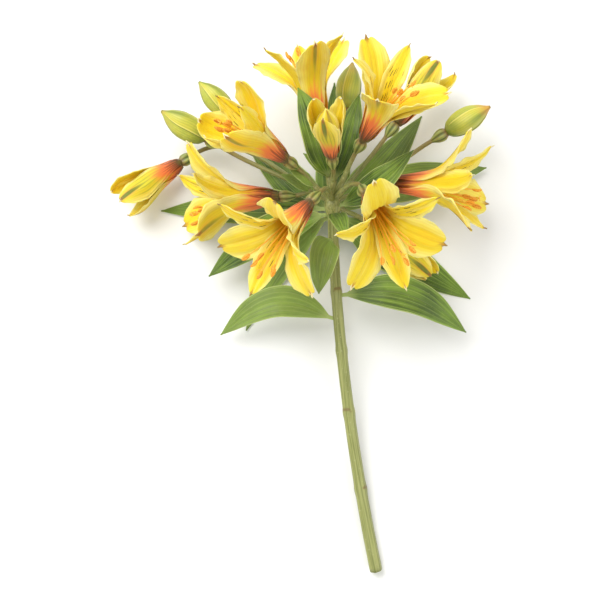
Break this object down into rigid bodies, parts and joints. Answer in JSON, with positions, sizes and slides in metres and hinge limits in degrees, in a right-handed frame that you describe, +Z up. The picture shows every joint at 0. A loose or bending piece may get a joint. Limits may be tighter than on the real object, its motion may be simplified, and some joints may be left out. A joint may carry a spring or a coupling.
{
  "type": "alstroemeria stem",
  "caption": "Cut alstroemeria stem lying on its side, with an umbel of yellow blooms, half-open blooms, green buds and lance-shaped leaves.",
  "frame": {"origin": "on the surface that the stem lies on, under the middle of its bounding box", "axes": "+Z up from the surface; +Y along the stem, from the cut end toward the head; +X to the right, seen from above with the head at the top"},
  "size_m": [0.1998, 0.2732, 0.1058],
  "materials": {
    "stalk": "fresh green stalk, slightly satin",
    "leaf": "fresh leaf, satin with fine parallel veins",
    "tepals": "soft petal, matte with fine veins",
    "stamens": "powdery anthers on smooth filaments",
    "bud": "closed green bud, satin"
  },
  "bodies": {
    "root": {"bloom_1_stamens": "stamens", "bloom_1_tepals": "tepals", "bloom_2_stamens": "stamens", "bloom_2_tepals": "tepals", "bloom_3_stamens": "stamens", "bloom_3_tepals": "tepals", "bloom_4_stamens": "stamens", "bloom_4_tepals": "tepals", "bloom_5_stamens": "stamens", "bloom_5_tepals": "tepals", "bloom_6_stamens": "stamens", "bloom_6_tepals": "tepals", "bloom_7_stamens": "stamens", "bloom_7_tepals": "tepals", "bud_1": "bud", "bud_2": "bud", "bud_3": "bud", "bud_4": "bud", "half_open_1": "tepals", "half_open_2": "tepals", "half_open_3": "tepals", "half_open_4": "tepals", "leaf_01": "leaf", "leaf_02": "leaf", "leaf_03": "leaf", "leaf_04": "leaf", "leaf_05": "leaf", "leaf_06": "leaf", "leaf_07": "leaf", "leaf_08": "leaf", "leaf_09": "leaf", "leaf_10": "leaf", "leaf_11": "leaf", "leaf_12": "leaf", "leaf_13": "leaf", "leaf_14": "leaf", "leaf_15": "leaf", "stalk": "stalk"}
  },
  "joints": []
}
